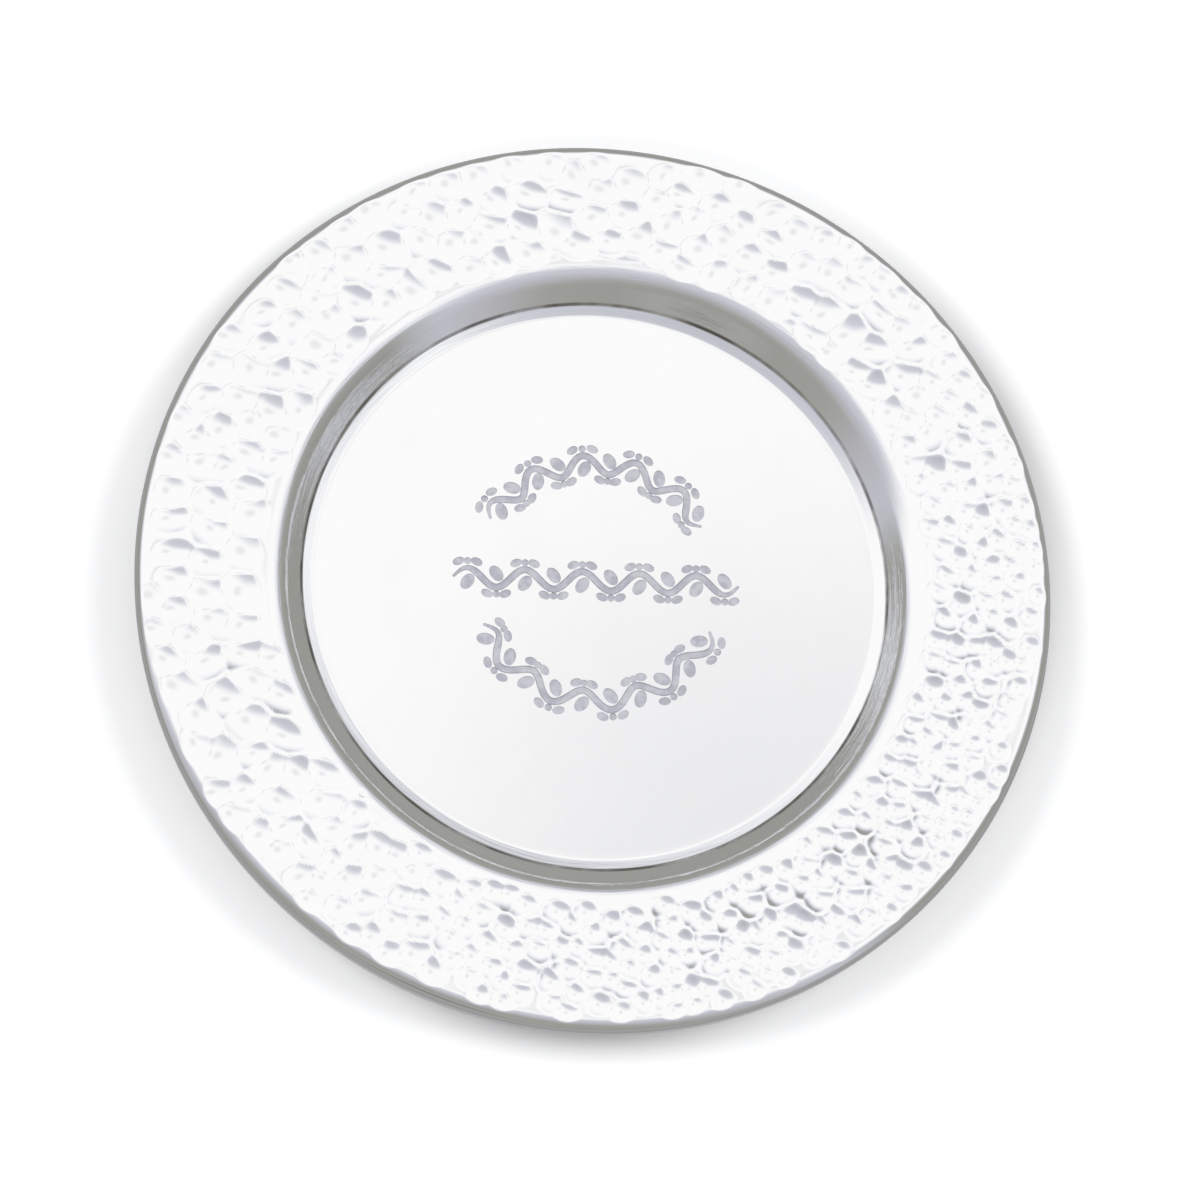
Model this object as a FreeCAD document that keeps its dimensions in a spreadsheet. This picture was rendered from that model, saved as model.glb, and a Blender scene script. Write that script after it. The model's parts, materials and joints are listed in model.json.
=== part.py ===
import FreeCAD, Part
import math
import os
import Sketcher

# A round hand-hammered plate: one sheet with a sunk well, a broad, nearly flat rim and an edge that
# is turned down to a lip, a wire that stiffens the edge from inside the lip, and the run of solder
# that holds the wire.  The plate lies on the flat of its well, with +Z up its axis and the origin
# at the middle of its underside.

doc = FreeCAD.newDocument("hammered_plate")

# ---- driving dimensions, in millimetres ----

sizes = doc.addObject("Spreadsheet::Sheet", "sizes")
driving_dimensions = {
    "plate_diameter": 150.0,        # over the outside of the lip
    "sheet_thickness": 1.0,
    "well_mouth_diameter": 104.0,   # where the lines of wall and rim would meet
    "well_floor_diameter": 96.0,    # where the lines of wall and floor would meet
    "well_depth": 5.1,              # from that upper corner down to the floor
    "floor_corner_radius": 4.0,     # hollow curve from the floor into the wall
    "shoulder_radius": 5.5,         # crown of the bend from the wall onto the rim
    "rim_rise": 1.5,                # the rim climbs this much on its way out to the edge
    "edge_bend_radius": 2.2,        # outside of the bend from the rim down into the lip
    "lip_straight": 2.1,            # upright part of the lip below that bend
    "wire_reach": 1.2,              # the wire fills the bend and runs this far on under the rim
    "wire_drop": 1.7,               # and this far down the lip below the bend
    "wire_round_radius": 0.6,       # its two lower corners
    "solder_leg": 1.0,
}
for row, (alias, value) in enumerate(driving_dimensions.items(), start=1):
    sizes.set(f"A{row}", alias)
    sizes.set(f"B{row}", str(value))
    sizes.setAlias(f"B{row}", alias)
doc.recompute()

lip_end_round = 0.4     # the lip's outer lower corner is rounded by this share of the sheet
match_distance = 1e-4   # how close an edge must lie to the corner that it is looked up by
inside_bend = "(sizes.edge_bend_radius - sizes.sheet_thickness)"
wire_width = f"({inside_bend} + sizes.wire_reach)"
wire_height = f"({inside_bend} + sizes.wire_drop)"


def size(alias):
    return sizes.get(alias)


# ---- sketch and feature helpers ----

def new_body(name):
    body = doc.addObject("PartDesign::Body", name)
    body.Label = name
    return body


def half_section(body, name):
    """A sketch on the body's own XZ plane: across is the radius, up is the height."""
    sketch = body.newObject("Sketcher::SketchObject", name)
    plane = [feature for feature in body.Origin.OriginFeatures if feature.Role == "XZ_Plane"][0]
    sketch.AttachmentSupport = (plane, [""])
    sketch.MapMode = "FlatFace"
    return sketch


def closed_outline(sketch, corners):
    """Straight lines from corner to corner, the last one back to the first."""
    following = corners[1:] + corners[:1]
    for start, end in zip(corners, following):
        ends = [FreeCAD.Vector(across, up, 0) for across, up in (start, end)]
        sketch.addGeometry(Part.LineSegment(*ends), False)
    for line in range(len(corners)):
        sketch.addConstraint(Sketcher.Constraint("Coincident", line, 2, (line + 1) % len(corners), 1))


def measure(sketch, name, expression, *constraint):
    """A named dimension of the sketch, bound to cells of the spreadsheet."""
    index = sketch.addConstraint(Sketcher.Constraint(*constraint))
    sketch.renameConstraint(index, name)
    sketch.setExpression(f"Constraints.{name}", expression)


def place_point(sketch, name, line, end, radius, height):
    """Holds one end of a line at a radius and a height, each given as an expression."""
    point = sketch.getPoint(line, end)
    measure(sketch, f"{name}_radius", radius, "DistanceX", -1, 1, line, end, point.x)
    measure(sketch, f"{name}_height", height, "DistanceY", -1, 1, line, end, point.y)


def revolve(body, sketch, name):
    turned = body.newObject("PartDesign::Revolution", name)
    turned.Profile = sketch
    turned.ReferenceAxis = (sketch, ["V_Axis"])
    turned.Angle = 360.0
    sketch.Visibility = False
    doc.recompute()
    return turned


def round_corner(body, name, corner, radius):
    """Fillets the circular edge of the body that passes through a corner of its section."""
    base = body.Tip
    for number, edge in enumerate(base.Shape.Edges, start=1):
        ring = edge.Curve
        if not isinstance(ring, Part.Circle):
            continue
        found = FreeCAD.Vector(ring.Radius, ring.Center.z, 0)
        if found.distanceToPoint(corner) < match_distance:
            fillet = body.newObject("PartDesign::Fillet", name)
            fillet.Base = (base, [f"Edge{number}"])
            fillet.setExpression("Radius", radius)
            doc.recompute()
            return
    raise RuntimeError(f"{name}: no edge passes through the corner")


def add_rim_underside(sketch):
    """Construction line along the underside of the rim, from under the well's mouth to the edge."""
    inner = FreeCAD.Vector(size("well_mouth_diameter") / 2, size("well_depth"), 0)
    outer = FreeCAD.Vector(size("plate_diameter") / 2, size("well_depth") + size("rim_rise"), 0)
    line = sketch.addGeometry(Part.LineSegment(inner, outer), True)
    place_point(sketch, "mouth", line, 1, "sizes.well_mouth_diameter / 2", "sizes.well_depth")
    place_point(sketch, "edge", line, 2, "sizes.plate_diameter / 2", "sizes.well_depth + sizes.rim_rise")
    return line


def rim_underside_height(radius):
    climb = size("rim_rise") / (size("plate_diameter") / 2 - size("well_mouth_diameter") / 2)
    return size("well_depth") + climb * (radius - size("well_mouth_diameter") / 2)


# ---- dish: the sheet, sunk to a well, left broad at the rim and turned down at the edge ----

def make_dish():
    body = new_body("dish")
    section = half_section(body, "sheet_section")
    sheet = size("sheet_thickness")
    floor_radius = size("well_floor_diameter") / 2
    mouth_radius = size("well_mouth_diameter") / 2
    edge_radius = size("plate_diameter") / 2
    wall_angle = math.atan2(size("well_depth"), mouth_radius - floor_radius)
    bend = sheet * math.tan(wall_angle / 2)
    edge_top = sheet + size("well_depth") + size("rim_rise")
    lip_end = edge_top - size("edge_bend_radius") - size("lip_straight")
    closed_outline(section, [
        (0, 0),
        (0, sheet),
        (floor_radius, sheet),
        (mouth_radius, sheet + size("well_depth")),
        (edge_radius, edge_top),
        (edge_radius, lip_end),
        (edge_radius - sheet, lip_end),
        (edge_radius - sheet, rim_underside_height(edge_radius - sheet)),
        (mouth_radius + bend, rim_underside_height(mouth_radius + bend)),
        (floor_radius + bend, 0),
    ])
    axis, floor_top, wall_top, rim_top, lip = range(5)
    lip_foot, lip_inside, rim_under, wall_under, floor_under = range(5, 10)

    section.addConstraint(Sketcher.Constraint("Coincident", axis, 1, -1, 1))
    for upright in (axis, lip, lip_inside):
        section.addConstraint(Sketcher.Constraint("Vertical", upright))
    for level in (floor_top, floor_under, lip_foot):
        section.addConstraint(Sketcher.Constraint("Horizontal", level))
    section.addConstraint(Sketcher.Constraint("Parallel", rim_top, rim_under))
    section.addConstraint(Sketcher.Constraint("Parallel", wall_top, wall_under))
    measure(section, "floor_thickness", "sizes.sheet_thickness", "DistanceY", axis, 1, axis, 2, sheet)
    measure(section, "wall_thickness", "sizes.sheet_thickness",
            "Distance", wall_under, 2, wall_top, sheet)
    measure(section, "lip_thickness", "sizes.sheet_thickness",
            "DistanceX", lip_foot, 2, lip_foot, 1, sheet)
    measure(section, "floor_radius", "sizes.well_floor_diameter / 2",
            "DistanceX", -1, 1, floor_top, 2, floor_radius)
    measure(section, "mouth_radius", "sizes.well_mouth_diameter / 2",
            "DistanceX", -1, 1, wall_top, 2, mouth_radius)
    measure(section, "edge_radius", "sizes.plate_diameter / 2",
            "DistanceX", -1, 1, rim_top, 2, edge_radius)
    measure(section, "depth", "sizes.well_depth",
            "DistanceY", wall_top, 1, wall_top, 2, size("well_depth"))
    measure(section, "rise", "sizes.rim_rise",
            "DistanceY", rim_top, 1, rim_top, 2, size("rim_rise"))
    measure(section, "lip_depth", "sizes.edge_bend_radius + sizes.lip_straight",
            "DistanceY", lip, 2, lip, 1, edge_top - lip_end)

    # The rim is one sheet thick, measured upright; the wire and the solder rely on that.
    ends = [FreeCAD.Vector(edge_radius, height, 0) for height in (edge_top, edge_top - sheet)]
    gauge = section.addGeometry(Part.LineSegment(*ends), True)
    section.addConstraint(Sketcher.Constraint("Coincident", gauge, 1, rim_top, 2))
    section.addConstraint(Sketcher.Constraint("Vertical", gauge))
    section.addConstraint(Sketcher.Constraint("PointOnObject", gauge, 2, rim_under))
    measure(section, "rim_thickness", "sizes.sheet_thickness", "DistanceY", gauge, 2, gauge, 1, sheet)
    revolve(body, section, "spun_sheet")

    # Both faces of a bend are rounded about the same centre, so the sheet keeps its thickness there.
    round_corner(body, "floor_corner", section.getPoint(floor_top, 2), "sizes.floor_corner_radius")
    round_corner(body, "floor_corner_under", section.getPoint(floor_under, 1),
                 "sizes.floor_corner_radius + sizes.sheet_thickness")
    round_corner(body, "shoulder", section.getPoint(wall_top, 2), "sizes.shoulder_radius")
    round_corner(body, "shoulder_under", section.getPoint(wall_under, 1),
                 "sizes.shoulder_radius - sizes.sheet_thickness")
    round_corner(body, "edge_bend", section.getPoint(rim_top, 2), "sizes.edge_bend_radius")
    round_corner(body, "edge_bend_under", section.getPoint(rim_under, 1), inside_bend)
    round_corner(body, "lip_end", section.getPoint(lip, 2), f"{lip_end_round} * sizes.sheet_thickness")
    return body


# ---- edge wire: fills the bend from inside, against the lip and the underside of the rim ----

def make_edge_wire():
    body = new_body("edge_wire")
    section = half_section(body, "wire_section")
    filled = size("edge_bend_radius") - size("sheet_thickness")
    width = filled + size("wire_reach")
    height = filled + size("wire_drop")
    outer = size("plate_diameter") / 2 - size("sheet_thickness")
    inner = outer - width
    base = rim_underside_height(outer) - height
    closed_outline(section, [
        (outer, base),
        (outer, rim_underside_height(outer)),
        (inner, rim_underside_height(inner)),
        (inner, base),
    ])
    outside, top, inside, bottom = range(4)
    rim_line = add_rim_underside(section)

    section.addConstraint(Sketcher.Constraint("Vertical", outside))
    section.addConstraint(Sketcher.Constraint("Vertical", inside))
    section.addConstraint(Sketcher.Constraint("Horizontal", bottom))
    section.addConstraint(Sketcher.Constraint("PointOnObject", top, 1, rim_line))
    section.addConstraint(Sketcher.Constraint("PointOnObject", top, 2, rim_line))
    measure(section, "outer_radius", "sizes.plate_diameter / 2 - sizes.sheet_thickness",
            "DistanceX", -1, 1, top, 1, outer)
    measure(section, "width", wire_width, "DistanceX", top, 2, top, 1, width)
    measure(section, "height", wire_height, "DistanceY", outside, 1, outside, 2, height)
    revolve(body, section, "wire_ring")
    round_corner(body, "bend_corner", section.getPoint(top, 1), inside_bend)
    round_corner(body, "lower_outer_corner", section.getPoint(outside, 1), "sizes.wire_round_radius")
    round_corner(body, "lower_inner_corner", section.getPoint(bottom, 1), "sizes.wire_round_radius")
    return body


# ---- edge solder: the run that fills the corner of wire and rim, with a flat face ----

def make_edge_solder():
    body = new_body("edge_solder")
    section = half_section(body, "solder_section")
    leg = size("solder_leg")
    corner_radius = size("plate_diameter") / 2 - size("edge_bend_radius") - size("wire_reach")
    closed_outline(section, [
        (corner_radius, rim_underside_height(corner_radius)),
        (corner_radius - leg, rim_underside_height(corner_radius - leg)),
        (corner_radius, rim_underside_height(corner_radius) - leg),
    ])
    along_rim, along_wire = 0, 2
    rim_line = add_rim_underside(section)

    section.addConstraint(Sketcher.Constraint("PointOnObject", along_rim, 1, rim_line))
    section.addConstraint(Sketcher.Constraint("PointOnObject", along_rim, 2, rim_line))
    section.addConstraint(Sketcher.Constraint("Vertical", along_wire))
    measure(section, "corner_radius", f"sizes.plate_diameter / 2 - sizes.sheet_thickness - {wire_width}",
            "DistanceX", -1, 1, along_rim, 1, corner_radius)
    measure(section, "leg_on_rim", "sizes.solder_leg", "DistanceX", along_rim, 2, along_rim, 1, leg)
    measure(section, "leg_on_wire", "sizes.solder_leg", "DistanceY", along_wire, 1, along_wire, 2, leg)
    revolve(body, section, "solder_run")
    return body


pieces = [make_dish(), make_edge_wire(), make_edge_solder()]
doc.recompute()

for item in doc.Objects:
    if "Invalid" in item.State or "Error" in item.State:
        raise RuntimeError(f"{item.Label} failed to build: {item.State}")

os.makedirs("parts", exist_ok=True)
for piece in pieces:
    if piece.Shape.isNull() or not piece.Shape.isValid():
        raise RuntimeError(f"{piece.Label} has no valid shape")
    piece.Shape.exportStep(f"parts/{piece.Label}.step")
    print(f"{piece.Label}: {piece.Shape.Volume:.1f} mm3, {len(piece.Shape.Solids)} solid")
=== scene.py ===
import json
import math
import random

import bpy
import numpy as np
from mathutils import Matrix, Vector, noise


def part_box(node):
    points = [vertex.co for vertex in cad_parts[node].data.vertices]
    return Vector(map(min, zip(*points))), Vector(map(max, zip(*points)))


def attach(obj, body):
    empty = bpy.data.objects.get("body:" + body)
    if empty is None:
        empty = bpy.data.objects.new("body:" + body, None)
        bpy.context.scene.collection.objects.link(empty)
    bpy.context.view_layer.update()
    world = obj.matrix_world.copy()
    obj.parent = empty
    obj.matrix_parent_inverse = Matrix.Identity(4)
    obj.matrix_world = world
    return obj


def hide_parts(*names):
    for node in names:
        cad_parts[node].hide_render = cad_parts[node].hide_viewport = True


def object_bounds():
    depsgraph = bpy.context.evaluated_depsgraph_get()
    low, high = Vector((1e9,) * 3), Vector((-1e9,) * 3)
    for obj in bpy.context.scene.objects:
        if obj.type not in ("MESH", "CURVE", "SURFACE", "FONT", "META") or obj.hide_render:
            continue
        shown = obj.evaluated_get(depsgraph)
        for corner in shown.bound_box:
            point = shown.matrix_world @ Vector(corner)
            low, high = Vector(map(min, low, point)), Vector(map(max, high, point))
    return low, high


# A hand-hammered silver plate on a pale table: the hammered sheet with its engraved well, the wire inside its
# turned-down edge and the solder that holds it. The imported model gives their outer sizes.

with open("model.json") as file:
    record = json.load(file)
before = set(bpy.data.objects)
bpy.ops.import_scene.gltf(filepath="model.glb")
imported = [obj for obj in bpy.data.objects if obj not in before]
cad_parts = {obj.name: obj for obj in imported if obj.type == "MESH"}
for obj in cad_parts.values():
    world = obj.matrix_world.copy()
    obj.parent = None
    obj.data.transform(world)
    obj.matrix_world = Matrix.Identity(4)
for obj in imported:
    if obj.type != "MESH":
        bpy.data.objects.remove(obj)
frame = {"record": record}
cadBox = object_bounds()
mm = 0.001
fullTurn = 2 * math.pi
weldGap = 0.002 * mm    # points closer than this are merged
dishLow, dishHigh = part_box("dish")
wireLow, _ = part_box("edge_wire")
solderLow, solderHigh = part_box("edge_solder")
plateRadius = min(dishHigh.x, dishHigh.y, -dishLow.x, -dishLow.y)
print("frame loaded, plate radius", round(plateRadius / mm, 2), "mm")


def deselectAll():
    if bpy.context.object and bpy.context.object.mode != "OBJECT":
        bpy.ops.object.mode_set(mode="OBJECT")
    bpy.ops.object.select_all(action="DESELECT")


def pick(obj):
    deselectAll()
    obj.select_set(True)
    bpy.context.view_layer.objects.active = obj


def openForEditing(obj, kind="VERT"):
    pick(obj)
    bpy.ops.object.mode_set(mode="EDIT")
    bpy.ops.mesh.select_mode(type=kind)
    bpy.ops.mesh.select_all(action="DESELECT")


def selectWhere(obj, parts, wanted):
    # parts is "vertices", "edges" or "polygons"; wanted is given their middles' distances from the axis and
    # their places, all at once, and says which ones to select
    bpy.ops.object.mode_set(mode="OBJECT")
    mesh = obj.data
    places = readArray(mesh.vertices, "co", 3)
    if parts == "edges":
        ends = readArray(mesh.edges, "vertices", 2, np.int32)
        places = (places[ends[:, 0]] + places[ends[:, 1]]) / 2
    elif parts == "polygons":
        places = readArray(mesh.polygons, "center", 3)
    chosen = wanted(np.hypot(places[:, 0], places[:, 1]), places)
    getattr(mesh, parts).foreach_set("select", chosen)
    bpy.ops.object.mode_set(mode="EDIT")


def readArray(elements, name, width, kind=np.float32):
    values = np.empty(len(elements) * width, dtype=kind)
    elements.foreach_get(name, values)
    return values.reshape(-1, width)


def joinAll(objects, name):
    deselectAll()
    for obj in objects:
        obj.select_set(True)
    bpy.context.view_layer.objects.active = objects[0]
    bpy.ops.object.join()
    objects[0].name = name
    return objects[0]


def roundedProfile(corners):
    # corners are (radius, height, rounding, steps in the rounding, steps in the run that follows)
    points = []
    last = len(corners) - 1
    for i, (across, up, rounding, bendSteps, runSteps) in enumerate(corners):
        here = Vector((across, up))
        if 0 < i < last and rounding:
            before = (Vector(corners[i - 1][:2]) - here).normalized()
            after = (Vector(corners[i + 1][:2]) - here).normalized()
            half = before.angle(after) / 2
            centre = here + (before + after).normalized() * (rounding / math.sin(half))
            start = here + before * (rounding / math.tan(half)) - centre
            turn = start.angle_signed(here + after * (rounding / math.tan(half)) - centre)
            for k in range(bendSteps + 1):
                angle = -turn * k / bendSteps
                spun = Vector((start.x * math.cos(angle) - start.y * math.sin(angle),
                               start.x * math.sin(angle) + start.y * math.cos(angle)))
                points.append((centre + spun, 1))
        else:
            points.append((here, 1))
        points[-1] = (points[-1][0], runSteps)
    line = []
    for (start, steps), (end, _) in zip(points, points[1:]):
        line += [start.lerp(end, k / steps) for k in range(steps)]
    return line + [points[-1][0]]


def turnProfile(name, line, segments, finish):
    # the outline is drawn point by point from one vertex and spun through an eighth of a turn, and the slice
    # is doubled three times
    deselectAll()
    bpy.ops.mesh.primitive_plane_add(size=mm)
    obj = bpy.context.object
    obj.name = name
    bpy.ops.object.mode_set(mode="EDIT")
    bpy.ops.mesh.select_mode(type="VERT")
    bpy.ops.mesh.select_all(action="SELECT")
    bpy.ops.mesh.merge(type="CENTER")
    bpy.ops.transform.translate(value=(line[0].x, 0, line[0].y))
    for start, end in zip(line, line[1:]):
        step = end - start
        bpy.ops.mesh.extrude_region_move(TRANSFORM_OT_translate={"value": (step.x, 0, step.y)})
    bpy.ops.mesh.select_all(action="SELECT")
    bpy.ops.mesh.spin(steps=segments // 8, angle=fullTurn / 8, center=(0, 0, 0), axis=(0, 0, 1))
    for share in (8, 4, 2):
        bpy.ops.mesh.select_all(action="SELECT")
        bpy.ops.mesh.duplicate()
        bpy.ops.transform.rotate(value=fullTurn / share, orient_axis="Z", center_override=(0, 0, 0))
    bpy.ops.mesh.select_all(action="SELECT")
    bpy.ops.mesh.remove_doubles(threshold=weldGap)
    bpy.ops.object.mode_set(mode="OBJECT")
    obj.data.materials.append(finish)
    return obj


def bridgeRings(obj, first, second, reach=0.02 * mm):
    # joins two open rings, each given as (radius, height), which may have different numbers of points but
    # not the same height
    openForEditing(obj, "EDGE")
    selectWhere(obj, "edges", lambda r, p: sum(
        (abs(r - across) < reach) & (abs(p[:, 2] - up) < reach) for across, up in (first, second)) > 0)
    bpy.ops.mesh.bridge_edge_loops()
    bpy.ops.object.mode_set(mode="OBJECT")


class Link:
    # a socket that takes part in sums
    def __init__(self, tree, socket):
        self.tree = tree
        self.socket = socket

    def math(self, operation, first, second=None):
        node = self.tree.nodes.new("ShaderNodeMath")
        node.operation = operation
        for slot, value in zip(node.inputs, (first, second)):
            if isinstance(value, Link):
                self.tree.links.new(value.socket, slot)
            elif value is not None:
                slot.default_value = value
        return Link(self.tree, node.outputs[0])

    def __add__(self, other):
        return self.math("ADD", self, other)

    def __radd__(self, other):
        return self.math("ADD", other, self)

    def __sub__(self, other):
        return self.math("SUBTRACT", self, other)

    def __rsub__(self, other):
        return self.math("SUBTRACT", other, self)

    def __mul__(self, other):
        return self.math("MULTIPLY", self, other)

    def __rmul__(self, other):
        return self.math("MULTIPLY", other, self)

    def __truediv__(self, other):
        return self.math("DIVIDE", self, other)

    def __pow__(self, other):
        return self.math("POWER", self, other)


class Finish:
    # a material or world under construction
    def __init__(self, owner):
        self.owner = owner
        owner.use_nodes = True
        self.tree = owner.node_tree
        self.tree.nodes.clear()

    def node(self, kind, settings=None, values=None, output=0):
        made = self.tree.nodes.new(kind)
        for name, value in (settings or {}).items():
            if name == "stops":
                self.setRamp(made.color_ramp, value)
            else:
                setattr(made, name, value)
        for name, value in (values or {}).items():
            slot = made.inputs[name]
            if isinstance(value, Link):
                self.tree.links.new(value.socket, slot)
            else:
                slot.default_value = value
        return Link(self.tree, made.outputs[output]) if made.outputs else made

    def setRamp(self, ramp, stops):
        while len(ramp.elements) < len(stops):
            ramp.elements.new(1.0)
        for element, (place, colour) in zip(ramp.elements, stops):
            element.position = place
            element.color = (*colour, 1)

    def split(self, vector):
        parts = self.tree.nodes.new("ShaderNodeSeparateXYZ")
        self.tree.links.new(vector.socket, parts.inputs[0])
        return [Link(self.tree, parts.outputs[i]) for i in range(3)]

    def blend(self, factor, first, second):
        # mixes two colours
        return self.node("ShaderNodeMix", {"data_type": "RGBA"}, {0: factor, 6: first, 7: second}, output=2)

    def steps(self, value, low, high):
        # 0 below low, 1 above high, smooth between
        return self.node("ShaderNodeMapRange", {"interpolation_type": "SMOOTHSTEP"},
                         {"Value": value, "From Min": low, "From Max": high})

    def noise(self, vector, size, detail=2.0, rough=0.5):
        return self.node("ShaderNodeTexNoise", {}, {"Vector": vector, "Scale": 1 / size, "Detail": detail,
                                                    "Roughness": rough})

    def ramp(self, value, stops):
        return self.node("ShaderNodeValToRGB", {"stops": stops}, {"Fac": value})

    def bump(self, height, distance):
        return self.node("ShaderNodeBump", {}, {"Strength": 1.0, "Distance": distance, "Height": height})

    def finishMetal(self, colour, rough, bump):
        skin = self.node("ShaderNodeBsdfPrincipled", {}, {"Base Color": colour, "Metallic": 1.0,
                                                          "Roughness": rough, "Normal": bump})
        self.node("ShaderNodeOutputMaterial", {}, {"Surface": skin})


def newMaterial(name):
    return Finish(bpy.data.materials.new(name))


def ringWay(f, place, stretch):
    # coordinates that run along the rings of the plate, for marks left while it turned
    x, y, z = f.split(place)
    angle = f.node("ShaderNodeMath", {"operation": "ARCTAN2"}, {0: y, 1: x})
    flat = f.node("ShaderNodeCombineXYZ", {}, {0: x, 1: y})
    across = f.node("ShaderNodeVectorMath", {"operation": "LENGTH"}, {0: flat}, output=1)
    return f.node("ShaderNodeCombineXYZ", {}, {0: angle * stretch, 1: across, 2: z}), across


silverLook = {
    "colour": (0.965, 0.965, 0.965, 1),
    "tarnish": (0.93, 0.925, 0.91, 1),
    "roughLow": 0.03,
    "roughHigh": 0.09,
    "smearSize": 14 * mm,
    "smearEdge": (0.45, 0.75),
    "smearTint": 0.3,
    "scratchSize": 0.5 * mm,
    "scratchDepth": 0.0007 * mm,
    "scratchRough": 0.02,
    "wipeWay": (0.86, 0.5),     # the way in which the plate was wiped
    "wipeStretch": 0.06,
    "waveSize": 9 * mm,         # the sheet is never quite flat
    "waveDepth": 0.02 * mm,
    "pitSize": 1.7 * mm,
    "pitEdge": (0.03, 0.06),
    "pitTint": 0.5,
    "pitRough": 0.12,
    "wallInner": (45.4 * mm, 47.6 * mm),
    "wallOuter": (53.2 * mm, 55.0 * mm),
    "lineSize": 0.55 * mm,      # tool lines that run round the wall of the well
    "lineStretch": 3 * mm,
    "lineDepth": 0.03 * mm,
    "cornerRadius": 48.3 * mm,  # painted shade: a dark line is painted round the corner where the wall meets the floor
    "cornerHalf": 0.34 * mm,
    "cornerCore": 0.3,          # share of that half width which is painted dark all over
    "cornerDirt": (0.22, 0.21, 0.19, 1),
    "breakSize": 13 * mm,
    "breakEdge": (0.3, 0.65),
}


def polishedSilver():
    look = silverLook
    f = newMaterial("polished_silver")
    place = f.node("ShaderNodeTexCoord", output=3)
    smear = f.noise(place, look["smearSize"], 4.0, 0.6)
    x, y, z = f.split(place)
    # wipe marks run one way across the plate, so their pattern is stretched along that way
    wipeX, wipeY = look["wipeWay"]
    along = x * wipeX + y * wipeY
    across = y * wipeX - x * wipeY
    wiped = f.node("ShaderNodeCombineXYZ", {}, {0: along * look["wipeStretch"], 1: across, 2: z})
    wipe = f.noise(wiped, look["scratchSize"], 3.0, 0.65)
    wave = f.noise(place, look["waveSize"], 2.0)
    pits = f.node("ShaderNodeTexVoronoi", {}, {"Vector": place, "Scale": 1 / look["pitSize"]})
    pitMask = 1 - f.steps(pits, *look["pitEdge"])
    smeared = f.steps(smear, *look["smearEdge"])
    rough = look["roughLow"] + (look["roughHigh"] - look["roughLow"]) * smeared
    rough = rough + wipe * look["scratchRough"] + pitMask * look["pitRough"]
    turned, out = ringWay(f, place, look["lineStretch"])
    onWall = f.steps(out, *look["wallInner"]) * (1 - f.steps(out, *look["wallOuter"]))
    lines = f.noise(turned, look["lineSize"], 3.0, 0.6) * onWall
    # painted shade: the corner where the wall meets the floor gets a dark line, broken up by noise, standing
    # in for the shade that falls there
    off = f.node("ShaderNodeMath", {"operation": "ABSOLUTE"}, {0: out - look["cornerRadius"]})
    corner = 1 - f.steps(off, look["cornerHalf"] * look["cornerCore"], look["cornerHalf"])
    paintedCornerShade = corner * f.steps(f.noise(place, look["breakSize"], 3.0, 0.6), *look["breakEdge"])
    tinted = smeared * look["smearTint"] + pitMask * look["pitTint"]
    colour = f.blend(tinted, look["colour"], look["tarnish"])
    # the painted corner shade darkens the silver's colour there
    colour = f.blend(paintedCornerShade, colour, look["cornerDirt"])
    height = wipe * look["scratchDepth"] + wave * look["waveDepth"] + lines * look["lineDepth"]
    f.finishMetal(colour, rough, f.bump(height, 1.0))
    return f.owner


engravedLook = {
    "bright": (0.74, 0.74, 0.79, 1),
    "dull": (0.60, 0.60, 0.66, 1),
    "grain": 0.22 * mm,
    "grainDepth": 0.02 * mm,
    "patch": 1.6 * mm,
    "patchEdge": (0.35, 0.65),
    "rough": (0.42, 0.2),       # least roughness, and what the grain adds
}


def engravedSilver():
    look = engravedLook
    f = newMaterial("engraved_silver")
    place = f.node("ShaderNodeTexCoord", output=3)
    grain = f.noise(place, look["grain"], 2.0)
    patch = f.noise(place, look["patch"], 2.0)
    colour = f.blend(f.steps(patch, *look["patchEdge"]), look["bright"], look["dull"])
    least, more = look["rough"]
    f.finishMetal(colour, least + grain * more, f.bump(grain, look["grainDepth"]))
    return f.owner


undersideLook = {
    "colour": (0.93, 0.925, 0.91, 1),
    "tarnish": (0.80, 0.77, 0.70, 1),
    "markSize": 0.35 * mm,
    "markDepth": 0.004 * mm,
    "markStretch": 1.4 * mm,
    "markRough": 0.1,
    "smearSize": 11 * mm,
    "smearEdge": (0.42, 0.72),
    "smearTint": 0.6,
    "dullEdge": (0.5, 0.8),
    "dullRough": 0.08,
    "footEdge": (44.5 * mm, 46.5 * mm),     # the flat that the plate stands on is scuffed
    "scuffSize": 0.9 * mm,
    "scuffEdge": (0.5, 0.62),
    "scuffTint": 0.25,
    "scuffRough": 0.16,
    "scuffDepth": 0.6,          # as a share of the marks' depth
    "rough": 0.16,
}


def undersideSilver():
    look = undersideLook
    f = newMaterial("underside_silver")
    place = f.node("ShaderNodeTexCoord", output=3)
    along, across = ringWay(f, place, look["markStretch"])
    marks = f.noise(along, look["markSize"], 3.0, 0.7)
    smear = f.noise(place, look["smearSize"], 4.0, 0.6)
    scuff = f.noise(place, look["scuffSize"], 3.0, 0.7)
    worn = (1 - f.steps(across, *look["footEdge"])) * f.steps(scuff, *look["scuffEdge"])
    tinted = f.steps(smear, *look["smearEdge"]) * look["smearTint"] + worn * look["scuffTint"]
    colour = f.blend(tinted, look["colour"], look["tarnish"])
    rough = look["rough"] + marks * look["markRough"] + worn * look["scuffRough"]
    rough = rough + f.steps(smear, *look["dullEdge"]) * look["dullRough"]
    f.finishMetal(colour, rough, f.bump(marks + worn * look["scuffDepth"], look["markDepth"]))
    return f.owner


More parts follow.
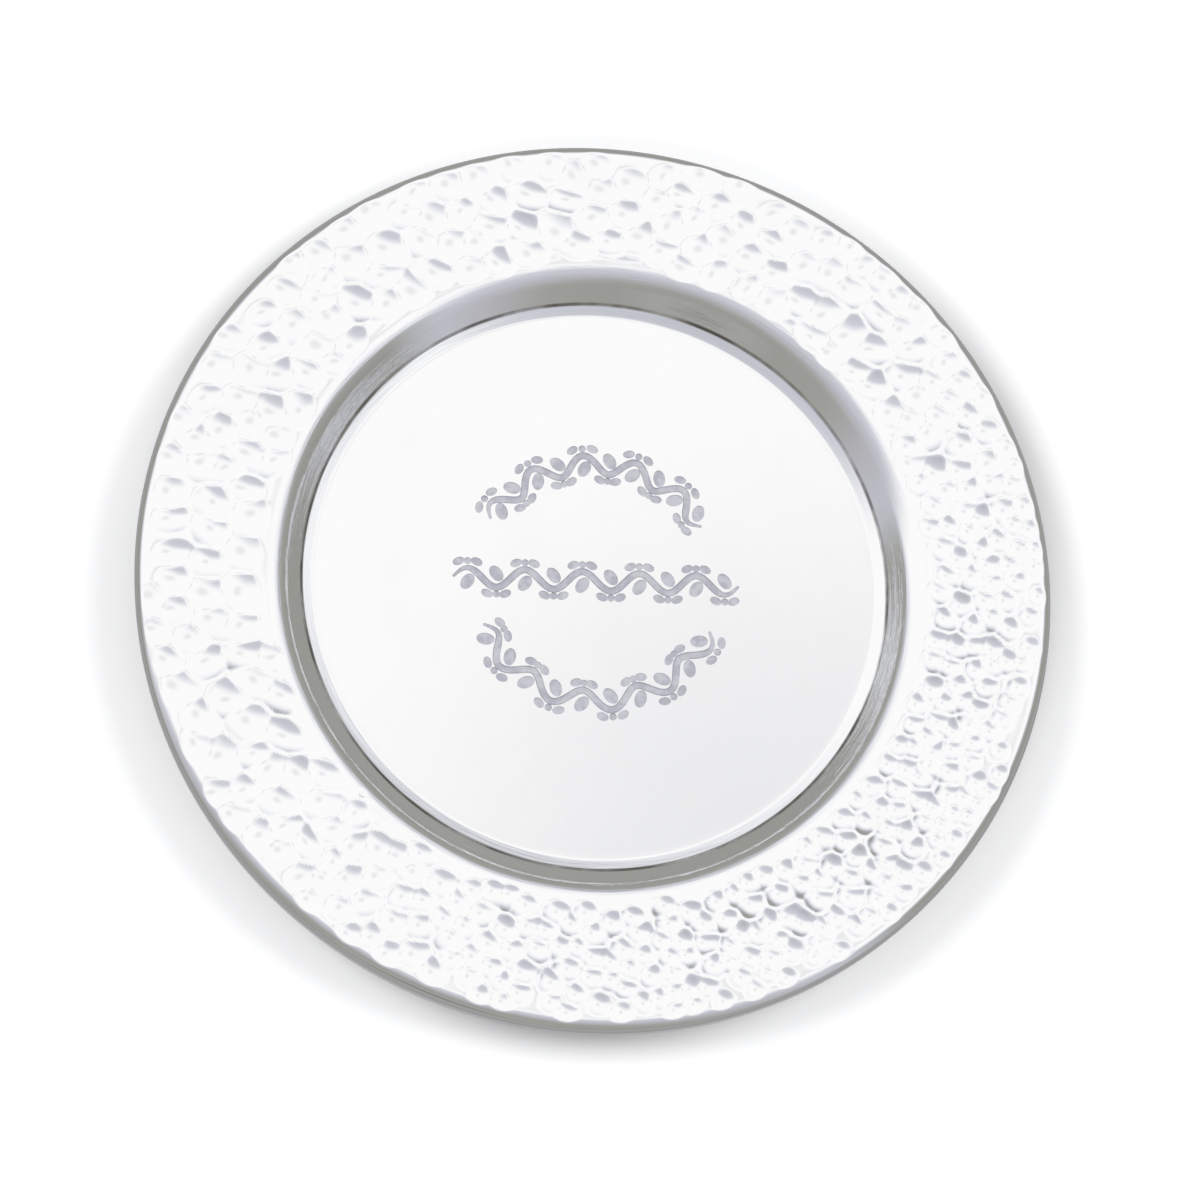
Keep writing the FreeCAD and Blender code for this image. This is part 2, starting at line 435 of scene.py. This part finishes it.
wireLook = {
    "colour": (0.93, 0.93, 0.925, 1),
    "tarnish": (0.84, 0.82, 0.77, 1),
    "markSize": 0.12 * mm,      # draw marks run along the wire
    "markStretch": 1.2 * mm,
    "markDepth": 0.003 * mm,
    "markRough": 0.1,
    "smearSize": 9 * mm,
    "smearEdge": (0.45, 0.75),
    "smearTint": 0.5,
    "smearRough": 0.08,
    "rough": 0.10,
}


def wireSilver():
    look = wireLook
    f = newMaterial("wire_silver")
    place = f.node("ShaderNodeTexCoord", output=3)
    along, _ = ringWay(f, place, look["markStretch"])
    marks = f.noise(along, look["markSize"], 3.0, 0.7)
    dull = f.steps(f.noise(place, look["smearSize"], 3.0), *look["smearEdge"])
    colour = f.blend(dull * look["smearTint"], look["colour"], look["tarnish"])
    rough = look["rough"] + marks * look["markRough"] + dull * look["smearRough"]
    f.finishMetal(colour, rough, f.bump(marks, look["markDepth"]))
    return f.owner


solderLook = {
    "bright": (0.80, 0.79, 0.76, 1),
    "dull": (0.66, 0.64, 0.58, 1),
    "flowSize": 2.2 * mm,       # it ran unevenly along the joint
    "flowEdge": (0.4, 0.65),
    "flowDepth": 0.03 * mm,
    "grainSize": 0.25 * mm,
    "grainDepth": 0.3,          # as a share of the flow's depth
    "rough": (0.26, 0.16),      # least roughness, and what the grain adds
}


def solderSilver():
    look = solderLook
    f = newMaterial("solder_silver")
    place = f.node("ShaderNodeTexCoord", output=3)
    flow = f.noise(place, look["flowSize"], 3.0)
    grain = f.noise(place, look["grainSize"], 2.0)
    colour = f.blend(f.steps(flow, *look["flowEdge"]), look["bright"], look["dull"])
    least, more = look["rough"]
    f.finishMetal(colour, least + grain * more, f.bump(flow + grain * look["grainDepth"], look["flowDepth"]))
    return f.owner


silver = polishedSilver()
engraved = engravedSilver()
undersideFinish = undersideSilver()
wireFinish = wireSilver()
solderFinish = solderSilver()
print("finishes ready")


dish = {
    "sheet": frame["record"]["mounts"][1]["pos_m"][2],   # the well floor's height is the sheet's thickness
    "mouthRadius": 52.0 * mm,
    "floorRadius": 48.0 * mm,
    "wellDepth": 5.1 * mm,
    "rimRise": 1.5 * mm,
    "floorCorner": 4.0 * mm,
    "shoulder": 5.5 * mm,
    "edgeBend": 2.2 * mm,
    "lipStraight": 2.1 * mm,
    "lipRound": 0.4 * mm,
    "lipInnerRound": 0.2 * mm,
    "lipJoin": (0.4 * mm, 0.9 * mm),    # the sheet's two faces are joined between these, above the lip's foot
    "coveStart": 46.5 * mm,     # the floor turns up in two steps, with a narrow cove between
    "coveEnd": 48.25 * mm,
    "coveRise": 0.68 * mm,
    "coveRound": 1.4 * mm,
    "fineSegments": 928,        # round the hammered rim
    "plainSegments": 232,       # round the smooth surfaces
    "fineEnd": 52.9 * mm,       # the hammered rim's fine mesh ends near here, on the shoulder
    "rimRows": 48,
    "flatRadius": 45.2 * mm,    # the engraved disc in the floor
    "baseHole": 1 * mm,         # closed by one face in the middle of the underside
}
rimClimb = dish["rimRise"] / (plateRadius - dish["mouthRadius"])


def rimHeight(across):
    # the smooth upper face of the rim, before hammering
    return dish["sheet"] + dish["wellDepth"] + rimClimb * (across - dish["mouthRadius"])


def underRim(across):
    return rimHeight(across) - dish["sheet"]


lipFoot = rimHeight(plateRadius) - dish["edgeBend"] - dish["lipStraight"]

dents = {
    "seed": 11,
    "tries": 9000,
    "gap": (3.0 * mm, 4.6 * mm),        # least distance between blows, from the busiest part to the calmest
    "gapSpread": (0.78, 1.12),
    "crown": (4.3 * mm, 12.0 * mm),     # radius of the hammer's face, from the busiest part to the calmest
    "crownSpread": (0.9, 1.15),
    "depth": (0.37 * mm, 0.42 * mm),    # from the shallowest blow to the deepest
    "stretch": (0.68, 0.94),            # width of a calm blow as a share of its length
    "roundBusy": 0.8,                   # how far the busiest blows come back to round
    "lean": (0.1, 0.5),                 # which way the long ones lie: the middle and the spread, in radians
    "lift": 0.42 * mm,                  # the metal that is pushed up between the blows
    "liftRun": ((54.2 * mm, 57.0 * mm), (64 * mm, 71.8 * mm)),
    "sway": 0.15 * mm,                  # slow unevenness of the whole rim
    "swaySize": 5.5 * mm,
    "swayRun": ((53.4 * mm, 55.4 * mm), (69 * mm, 73.5 * mm)),
    "busyWay": (0.64, -0.77),           # the side of the plate that was hammered hardest
    "busyRun": (-0.3, 0.85),
    "inner": 55.4 * mm,
    "outer": 72.6 * mm,
    "softness": (0.012 * mm, 0.05 * mm),        # of the ridges, from the busiest part to the calmest
    "reach": 6 * mm,
    "headroom": 0.02 * mm,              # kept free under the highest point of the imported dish
    # a knock on the shoulder: how far out, degrees from +X, crown, depth and stretch
    "nick": (53.4 * mm, 225, 1.5 * mm, 0.30 * mm, 0.7),
}


def smoothStep(value, low, high):
    t = np.clip((value - low) / (high - low), 0, 1)
    return t * t * (3 - 2 * t)


def busyness(x, y):
    # 1 where the rim was hammered hardest, 0 over the calm half
    towards = (x * dents["busyWay"][0] + y * dents["busyWay"][1]) / math.hypot(x, y)
    return smoothStep(towards, *dents["busyRun"])


def hammerBlows():
    # each blow: place, crown radius, depth, stretch and direction; one too close to another is left out
    rng = random.Random(dents["seed"])
    busyGap, calmGap = dents["gap"]
    busyCrown, calmCrown = dents["crown"]
    blows = []
    for _ in range(dents["tries"]):
        across = math.sqrt(rng.uniform(dents["inner"] ** 2, dents["outer"] ** 2))
        angle = rng.uniform(0, fullTurn)
        x, y = across * math.cos(angle), across * math.sin(angle)
        busy = busyness(x, y)
        gap = (calmGap + (busyGap - calmGap) * busy) * rng.uniform(*dents["gapSpread"])
        if any((x - b[0]) ** 2 + (y - b[1]) ** 2 < gap * gap for b in blows):
            continue
        crown = (calmCrown + (busyCrown - calmCrown) * busy) * rng.uniform(*dents["crownSpread"])
        depth = rng.uniform(*dents["depth"])
        # calm blows are long and lie nearly level, busy ones are round
        stretch = rng.uniform(*dents["stretch"])
        stretch += (1 - stretch) * dents["roundBusy"] * busy
        blows.append((x, y, crown, depth, stretch, rng.gauss(*dents["lean"])))
    across, angle, crown, depth, stretch = dents["nick"]
    angle = math.radians(angle)
    blows.append((across * math.cos(angle), across * math.sin(angle), crown, depth, stretch, angle))
    return blows


def hammerRim(obj):
    # the rim is lifted between the blows, every point drops to the lowest bowl that covers it, with a soft
    # change from one to the next, and the whole rim sways a little
    co = readArray(obj.data.vertices, "co", 3, np.float64)
    across = np.hypot(co[:, 0], co[:, 1])
    rise, fall = (smoothStep(across, *ends) for ends in dents["liftRun"])
    onRim = co[:, 2] > underRim(dents["inner"])
    cut = co[:, 2] + dents["lift"] * rise * (1 - fall) * onRim
    busySoft, calmSoft = dents["softness"]
    for x, y, crown, depth, stretch, way in hammerBlows():
        soft = calmSoft + (busySoft - calmSoft) * busyness(x, y)
        near = np.abs(co[:, 0] - x) < dents["reach"]
        near &= np.abs(co[:, 1] - y) < dents["reach"]
        dx, dy = co[near, 0] - x, co[near, 1] - y
        u = dx * math.cos(way) + dy * math.sin(way)
        v = (dy * math.cos(way) - dx * math.sin(way)) / stretch
        out = math.hypot(x, y)
        outward = (dx * x + dy * y) / out
        bowl = rimHeight(out) + rimClimb * outward - depth + (u * u + v * v) / (2 * crown)
        have = cut[near]
        mix = np.clip(0.5 + 0.5 * (have - bowl) / soft, 0, 1)
        cut[near] = have * (1 - mix) + bowl * mix - soft * mix * (1 - mix)
    swell = np.array([noise.noise(Vector(point) / dents["swaySize"]) for point in co])
    start, end = dents["swayRun"]
    cut += dents["sway"] * swell * smoothStep(across, *start) * (1 - smoothStep(across, *end)) * onRim
    co[:, 2] = np.minimum(cut, dishHigh.z - dents["headroom"])
    obj.data.vertices.foreach_set("co", co.ravel())
    obj.data.update()


def makeDish():
    sheet = dish["sheet"]
    wallRun = dish["mouthRadius"] - dish["floorRadius"]
    bend = sheet * math.tan(math.atan2(dish["wellDepth"], wallRun) / 2)
    lipInside = plateRadius - sheet
    joinLow, joinHigh = dish["lipJoin"]
    top = roundedProfile([
        (lipInside, lipFoot + joinLow, 0, 0, 1),
        (lipInside, lipFoot, dish["lipInnerRound"], 3, 1),
        (plateRadius, lipFoot, dish["lipRound"], 4, 3),
        (plateRadius, rimHeight(plateRadius), dish["edgeBend"], 12, dish["rimRows"]),
        (dish["mouthRadius"], rimHeight(dish["mouthRadius"]), dish["shoulder"], 18, 3),
        (dish["coveEnd"], sheet + dish["coveRise"], dish["coveRound"], 7, 2),
        (dish["coveStart"], sheet, dish["coveRound"], 6, 1),
        (dish["flatRadius"], sheet, 0, 0, 1),
    ])
    split = min(range(len(top)), key=lambda i: abs(top[i].x - dish["fineEnd"]))
    upper = turnProfile("upper", top[:split + 1], dish["fineSegments"], silver)
    hammerRim(upper)
    well = turnProfile("well", top[split + 1:], dish["plainSegments"], silver)
    under = roundedProfile([
        (lipInside, lipFoot + joinHigh, 0, 0, 2),
        (lipInside, underRim(lipInside), dish["edgeBend"] - sheet, 6, 10),
        (dish["mouthRadius"] + bend, underRim(dish["mouthRadius"] + bend), dish["shoulder"] - sheet, 8, 2),
        (dish["floorRadius"] + bend, 0, dish["floorCorner"] + sheet, 12, 6),
        (dish["baseHole"], 0, 0, 0, 1),
    ])
    base = turnProfile("base", under, dish["plainSegments"], undersideFinish)
    disc = engravedDisc()
    body = joinAll([upper, well, base, disc], "hammered_dish")
    openForEditing(body)
    bpy.ops.mesh.select_all(action="SELECT")
    bpy.ops.mesh.remove_doubles(threshold=weldGap)
    ends = [(p.x, p.y) for p in (top[0], under[0], top[split], top[split + 1])]
    bridgeRings(body, ends[0], ends[1])
    bridgeRings(body, ends[2], ends[3])
    openForEditing(body, "EDGE")
    selectWhere(body, "edges", lambda r, p: (r < 1.05 * dish["baseHole"]) & (p[:, 2] < 0.1 * sheet))
    bpy.ops.mesh.edge_face_add()
    bpy.ops.mesh.select_all(action="SELECT")
    bpy.ops.mesh.normals_make_consistent(inside=False)
    bpy.ops.object.mode_set(mode="OBJECT")
    middles = readArray(body.data.polygons, "center", 3)
    onFloor = np.hypot(middles[:, 0], middles[:, 1]) < dish["flatRadius"]
    body.data.polygons.foreach_set("use_smooth", ~(onFloor & (middles[:, 2] > 0.5 * sheet)))
    return body


ornament = {
    "cut": 0.12 * mm,
    "bandRadius": 20.2 * mm,
    "upperSpan": (30, 150),     # degrees
    "lowerSpan": (203, 337),
    "middleHalf": 23.6 * mm,
    "wave": 1.6 * mm,           # half height of the stem's wave
    "waveLength": 9.4 * mm,
    "stem": 0.62 * mm,          # half width of the stem's groove
    "stemEnd": 0.35,            # its width at the very ends, as a share
    "leaf": (3.7 * mm, 2.0 * mm),
    "leafBody": 0.4,            # half length of its rounded part, as a share of the length
    "berry": 0.85 * mm,
    # strokes by their distance from the stem's line, turn in radians, size and depth as shares
    "innerLeaf": (0.75 * mm, 0.95, 1.0, 0.85),
    "outerLeaf": (2.65 * mm, 0.42, 0.68, 0.75),
    "outerShift": 1.5 * mm,
    "berrySpot": (2.75 * mm, 0.72, 1.15),
    "discThick": 0.6,           # of the disc that is cut, as a share of the sheet
}


def onBand(band, u, v):
    # a point u along the band and v across it, and the direction in which the band runs there
    if band == "middle":
        return Vector((u, v, 0)), 0.0
    span = ornament["upperSpan"] if band == "upper" else ornament["lowerSpan"]
    middle = math.radians(sum(span) / 2)
    sense = -1 if band == "upper" else 1
    angle = middle + sense * u / ornament["bandRadius"]
    across = ornament["bandRadius"] - sense * v
    return Vector((across * math.cos(angle), across * math.sin(angle), 0)), angle + sense * math.pi / 2


def bandHalf(band):
    if band == "middle":
        return ornament["middleHalf"]
    span = ornament["upperSpan"] if band == "upper" else ornament["lowerSpan"]
    return math.radians(span[1] - span[0]) / 2 * ornament["bandRadius"]


def leafCutter():
    length, width = ornament["leaf"]
    body = length * ornament["leafBody"]
    tip = length / 2 - body
    deselectAll()
    bpy.ops.mesh.primitive_circle_add(vertices=20, radius=1, fill_type="NGON", enter_editmode=True)
    leaf = bpy.context.object
    bpy.ops.mesh.select_all(action="SELECT")
    bpy.ops.transform.resize(value=(body, width / 2, 1))
    for side in (-1, 1):
        selectWhere(leaf, "vertices", lambda r, p: p[:, 0] * side > 0.98 * body)
        bpy.ops.transform.translate(value=(side * tip, 0, 0))
    return thickenCutter(leaf)


def berryCutter():
    deselectAll()
    bpy.ops.mesh.primitive_circle_add(vertices=14, radius=ornament["berry"], fill_type="NGON",
                                      enter_editmode=True)
    return thickenCutter(bpy.context.object)


def thickenCutter(cutter):
    bpy.ops.mesh.select_all(action="SELECT")
    bpy.ops.transform.translate(value=(0, 0, -ornament["cut"]))
    bpy.ops.mesh.extrude_region_move(TRANSFORM_OT_translate={"value": (0, 0, 3 * ornament["cut"])})
    bpy.ops.mesh.select_all(action="SELECT")
    bpy.ops.mesh.normals_make_consistent(inside=False)
    bpy.ops.object.mode_set(mode="OBJECT")
    return cutter


def copyAt(cutter, place, turn, size, deep):
    copy = cutter.copy()
    copy.data = cutter.data.copy()
    bpy.context.collection.objects.link(copy)
    scale = Matrix.Diagonal((size, size, deep, 1))
    copy.data.transform(Matrix.Translation(place) @ Matrix.Rotation(turn, 4, "Z") @ scale)
    return copy


def stemCutter(band):
    half = bandHalf(band)
    waves = max(2, round(2 * half / ornament["waveLength"]))
    deselectAll()
    bpy.ops.curve.primitive_bezier_curve_add()
    curve = bpy.context.object
    curve.data.splines.clear()
    spline = curve.data.splines.new("POLY")
    steps = waves * 16
    thin = ornament["stemEnd"]
    spline.points.add(steps)
    for k in range(steps + 1):
        t = k / steps
        v = ornament["wave"] * math.sin(fullTurn * waves * t)
        place, _ = onBand(band, (2 * t - 1) * half, v)
        spline.points[k].co = (*place, 1)
        spline.points[k].radius = thin + (1 - thin) * min(1, 12 * t, 12 * (1 - t))
    curve.data.dimensions = "3D"
    curve.data.bevel_depth = ornament["stem"]
    curve.data.bevel_resolution = 2
    curve.data.use_fill_caps = True
    bpy.ops.object.convert(target="MESH")
    stem = bpy.context.object
    openForEditing(stem)
    bpy.ops.mesh.select_all(action="SELECT")
    bpy.ops.mesh.remove_doubles(threshold=weldGap)
    bpy.ops.transform.resize(value=(1, 1, ornament["cut"] / ornament["stem"]), center_override=(0, 0, 0))
    bpy.ops.mesh.normals_make_consistent(inside=False)
    bpy.ops.object.mode_set(mode="OBJECT")
    return stem, waves, half


def ornamentCutters():
    # one cutter for each kind of stroke; their depths differ, so no two grooves share a floor
    leaf = leafCutter()
    berry = berryCutter()
    innerOff, innerTurn, innerSize, innerDeep = ornament["innerLeaf"]
    outerOff, outerTurn, outerSize, outerDeep = ornament["outerLeaf"]
    berryOff, berrySize, berryDeep = ornament["berrySpot"]
    stems, innerLeaves, outerLeaves, berries = [], [], [], []
    for band in ("upper", "middle", "lower"):
        stem, waves, half = stemCutter(band)
        stems.append(stem)
        pitch = half / waves        # from one crest of the stem to the next
        for k in range(2 * waves):
            u = -half + (k + 0.5) * pitch
            side = 1 if k % 2 == 0 else -1
            # a leaf fills the hollow under each crest, smaller ones lean on its outer side
            place, way = onBand(band, u, -side * innerOff)
            innerLeaves.append(copyAt(leaf, place, way + side * innerTurn, innerSize, innerDeep))
            for lean in (-1, 1):
                place, way = onBand(band, u + lean * ornament["outerShift"], side * outerOff)
                outerLeaves.append(copyAt(leaf, place, way - lean * side * outerTurn, outerSize, outerDeep))
            place, way = onBand(band, u, side * berryOff)
            berries.append(copyAt(berry, place, way, berrySize, berryDeep))
    for obj in (leaf, berry):
        bpy.data.objects.remove(obj)
    cutters = [joinAll(group, "cutter") for group in (stems, innerLeaves, outerLeaves, berries)]
    for cutter in cutters:
        cutter.data.materials.clear()
        cutter.data.materials.append(engraved)
    return cutters


def engravedDisc():
    sheet = dish["sheet"]
    thick = ornament["discThick"] * sheet
    deselectAll()
    bpy.ops.mesh.primitive_cylinder_add(vertices=dish["plainSegments"], radius=dish["flatRadius"],
                                        depth=thick, location=(0, 0, sheet - thick / 2))
    disc = bpy.context.object
    bpy.ops.object.transform_apply(location=True)
    disc.data.materials.append(silver)
    for cutter in ornamentCutters():
        openForEditing(cutter)
        bpy.ops.mesh.select_all(action="SELECT")
        bpy.ops.transform.translate(value=(0, 0, sheet))
        pick(disc)
        carve = disc.modifiers.new("carve", "BOOLEAN")
        carve.operation = "DIFFERENCE"
        carve.solver = "EXACT"
        carve.material_mode = "TRANSFER"
        carve.object = cutter
        bpy.ops.object.modifier_apply(modifier=carve.name)
        bpy.data.objects.remove(cutter)
    # only the engraved top is kept
    openForEditing(disc, "FACE")
    selectWhere(disc, "polygons", lambda r, p: p[:, 2] < sheet - 2 * ornament["cut"])
    bpy.ops.mesh.delete(type="FACE")
    bpy.ops.object.mode_set(mode="OBJECT")
    return disc


hammeredDish = makeDish()
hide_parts("dish")
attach(hammeredDish, "root")
print("dish:", len(hammeredDish.data.polygons), "faces")


wire = {
    "corner": 0.6 * mm,
    "segments": 360,
    "sharpAngle": 35,           # degrees; sharper corners than this aren't smoothed
}


def makeWire():
    inner, outer = solderHigh.x, plateRadius - dish["sheet"]
    outline = roundedProfile([
        (inner, underRim(inner), 0, 0, 3),
        (inner, wireLow.z, wire["corner"], 6, 4),
        (outer, wireLow.z, wire["corner"], 6, 2),
        (outer, underRim(outer), dish["edgeBend"] - dish["sheet"], 6, 2),
        (inner, underRim(inner), 0, 0, 1),
    ])
    return closeShell(turnProfile("wire_ring", outline, wire["segments"], wireFinish))


def makeSolder():
    outer = solderHigh.x
    leg = solderHigh.z - solderLow.z
    outline = roundedProfile([
        (outer, underRim(outer), 0, 0, 3),
        (outer - leg, underRim(outer - leg), 0, 0, 5),
        (outer, underRim(outer) - leg, 0, 0, 3),
        (outer, underRim(outer), 0, 0, 1),
    ])
    return closeShell(turnProfile("solder_run", outline, wire["segments"], solderFinish))


def closeShell(ring):
    openForEditing(ring)
    bpy.ops.mesh.select_all(action="SELECT")
    bpy.ops.mesh.remove_doubles(threshold=weldGap)
    bpy.ops.mesh.normals_make_consistent(inside=False)
    bpy.ops.object.mode_set(mode="OBJECT")
    bpy.ops.object.shade_smooth_by_angle(angle=math.radians(wire["sharpAngle"]))
    return ring


wireRing = makeWire()
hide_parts("edge_wire")
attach(wireRing, "root")

solderRun = makeSolder()
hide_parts("edge_solder")
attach(solderRun, "root")
print("wire and solder ready")


studio = {
    "tableSize": 8.0,
    "tableDrop": 0.02 * mm,         # so that the plate's foot and the table don't share a plane
    "fibreSize": 0.6 * mm,
    "fibreDepth": 0.02 * mm,
    "fibreStrength": 0.2,
    "cloudSize": 120 * mm,
    "cloudTint": 0.5,
    "paperRough": 0.9,
    "tableColour": (0.50, 0.50, 0.50, 1),
    "tableShade": (0.485, 0.49, 0.495, 1),
    "suns": ((18, 28, 4.4), (158, 28, 4.4), (-112, 30, 3.0)),   # degrees from +X, degrees high, power
    "sunSpread": 40,                # degrees across, for soft shadows
    "frontWay": (-0.34, -0.94),     # the side of the tent where the camera stands
    # what is seen in each direction, by its height from -1 to 1 on the far side and at the sides
    "walls": [
        (0.00, (0.42, 0.42, 0.43)), (0.10, (0.30, 0.30, 0.30)), (0.32, (0.36, 0.36, 0.36)),
        (0.50, (0.30, 0.30, 0.28)), (0.71, (0.35, 0.35, 0.33)), (0.75, (0.50, 0.51, 0.55)),
        (0.79, (0.72, 0.73, 0.78)), (0.83, (0.90, 0.91, 0.94)), (0.88, (1.00, 1.00, 1.00)),
    ],
    # and towards the camera, from just past overhead (0) to level (1)
    "front": [
        (0.00, (1.00, 1.00, 1.00)), (0.08, (0.95, 0.96, 0.98)), (0.17, (0.80, 0.81, 0.86)),
        (0.27, (0.64, 0.65, 0.71)), (0.46, (0.55, 0.56, 0.62)), (0.65, (0.46, 0.46, 0.49)),
        (0.80, (0.35, 0.35, 0.33)), (0.92, (0.33, 0.33, 0.31)), (0.97, (0.38, 0.38, 0.37)),
        (1.00, (0.16, 0.16, 0.15)),
    ],
    "frontStart": -0.2,
    "frontEdge": (-0.22, 0.1),      # where the sides give way to the front
    "frontLevel": (-0.02, 0.1),
    "frontNarrow": 0.35,
    "lowered": 0.22,                # the tent's cloth ends higher on the right, towards the camera
    "loweredEdge": ((0.0, 0.8), (-0.2, 0.3)),
    "raised": 0.22,                 # and lower on the left
    "raisedEdge": (0.3, 0.95),
    "patch": (0.18, 0.18),          # a slightly grey patch overhead
    "patchEdge": (0.03, 0.17),
    "patchLevel": (0.5, 0.8),
    "patchDepth": 0.22,
    "patchColour": (0.30, 0.32, 0.40, 1),
    "foldSize": 0.16,
    "foldShare": (0.6, 0.8),        # least part of the patch's depth, and what its folds add
}


def makeTable():
    deselectAll()
    tableTop = cadBox[0].z - studio["tableDrop"]
    bpy.ops.mesh.primitive_plane_add(size=studio["tableSize"], location=(0, 0, tableTop))
    table = bpy.context.object
    table.name = "table"
    bpy.ops.object.transform_apply(location=True)
    f = newMaterial("pale_paper")
    place = f.node("ShaderNodeTexCoord", output=3)
    fibre = f.noise(place, studio["fibreSize"], 3.0)
    cloud = f.noise(place, studio["cloudSize"], 2.0)
    colour = f.blend(cloud * studio["cloudTint"], studio["tableColour"], studio["tableShade"])
    bump = f.node("ShaderNodeBump", {}, {"Strength": studio["fibreStrength"],
                                         "Distance": studio["fibreDepth"], "Height": fibre})
    skin = f.node("ShaderNodeBsdfPrincipled", {}, {"Base Color": colour, "Roughness": studio["paperRough"],
                                                   "Specular IOR Level": 0.0, "Normal": bump})
    f.node("ShaderNodeOutputMaterial", {}, {"Surface": skin})
    table.data.materials.append(f.owner)
    table.visible_glossy = False    # the metal mirrors the shaded floor of the tent instead


def makeTent():
    world = bpy.data.worlds.new("light_tent")
    bpy.context.scene.world = world
    f = Finish(world)
    way = f.node("ShaderNodeTexCoord", output=0)
    x, y, z = f.split(way)
    rightEdge, nearEdge = studio["loweredEdge"]
    lowered = f.steps(x, *rightEdge) * (1 - f.steps(y, *nearEdge)) * studio["lowered"]
    lowered = lowered - f.steps(x * -1, *studio["raisedEdge"]) * studio["raised"]
    walls = f.ramp((z - lowered) * 0.5 + 0.5, studio["walls"])
    frontX, frontY = studio["frontWay"]
    ahead = x * frontX + y * frontY
    front = f.ramp((ahead - studio["frontStart"]) / (1 - studio["frontStart"]), studio["front"])
    level = (1.0001 - z * z) ** 0.5     # a hair over 1, so the root always exists
    facing = f.steps(ahead - level * studio["frontNarrow"], *studio["frontEdge"])
    facing = facing * f.steps(z, *studio["frontLevel"])
    colour = f.blend(facing, walls, front)
    patchX, patchY = studio["patch"]
    apart = ((x - patchX) * (x - patchX) + (y - patchY) * (y - patchY)) ** 0.5
    patch = (1 - f.steps(apart, *studio["patchEdge"])) * f.steps(z, *studio["patchLevel"])
    folds = f.noise(way, studio["foldSize"], 3.0, 0.6)
    least, more = studio["foldShare"]
    shade = patch * (studio["patchDepth"] * (least + folds * more))
    colour = f.blend(shade, colour, studio["patchColour"])
    glow = f.node("ShaderNodeBackground", {}, {"Color": colour, "Strength": 1.0})
    f.node("ShaderNodeOutputWorld", {}, {"Surface": glow})


def makeSuns():
    for azimuth, height, power in studio["suns"]:
        deselectAll()
        bpy.ops.object.light_add(type="SUN")
        sun = bpy.context.object
        high, around = math.radians(height), math.radians(azimuth)
        level = math.cos(high)
        toLight = Vector((level * math.cos(around), level * math.sin(around), math.sin(high)))
        sun.rotation_euler = toLight.to_track_quat("Z", "Y").to_euler()
        sun.data.energy = power
        sun.data.angle = math.radians(studio["sunSpread"])
        sun.visible_glossy = False


viewpoint = {
    "tilt": 17.85,              # degrees between the plate's axis and the line of sight
    "towards": -112.65,         # degrees from +X, the side that the camera stands on
    "distance": 7.0,            # in plate radii
    "lens": 98.4,
    "sensor": 36,
    "nearest": 0.01,            # metres, from where the camera sees things
    "height": 5.5 * mm,         # of the point that it looks at
    "aim": (-1.55 * mm, -2.75 * mm),
}


def makeCamera():
    tilt, towards = math.radians(viewpoint["tilt"]), math.radians(viewpoint["towards"])
    back = Vector((math.sin(tilt) * math.cos(towards), math.sin(tilt) * math.sin(towards), math.cos(tilt)))
    up = Vector((0, 1, 0))
    up = (up - back * up.dot(back)).normalized()
    side = up.cross(back)
    middle = Vector((0, 0, viewpoint["height"]))
    aimSide, aimUp = viewpoint["aim"]
    place = middle + side * aimSide + up * aimUp + back * viewpoint["distance"] * plateRadius
    deselectAll()
    bpy.ops.object.camera_add()
    camera = bpy.context.object
    camera.matrix_world = Matrix.Translation(place) @ Matrix((side, up, back)).transposed().to_4x4()
    camera.data.lens = viewpoint["lens"]
    camera.data.sensor_width = viewpoint["sensor"]
    camera.data.clip_start = viewpoint["nearest"]
    bpy.context.scene.camera = camera


makeTable()
makeTent()
makeSuns()
makeCamera()
bpy.context.scene.view_settings.view_transform = "Standard"
print("table, light and camera ready")
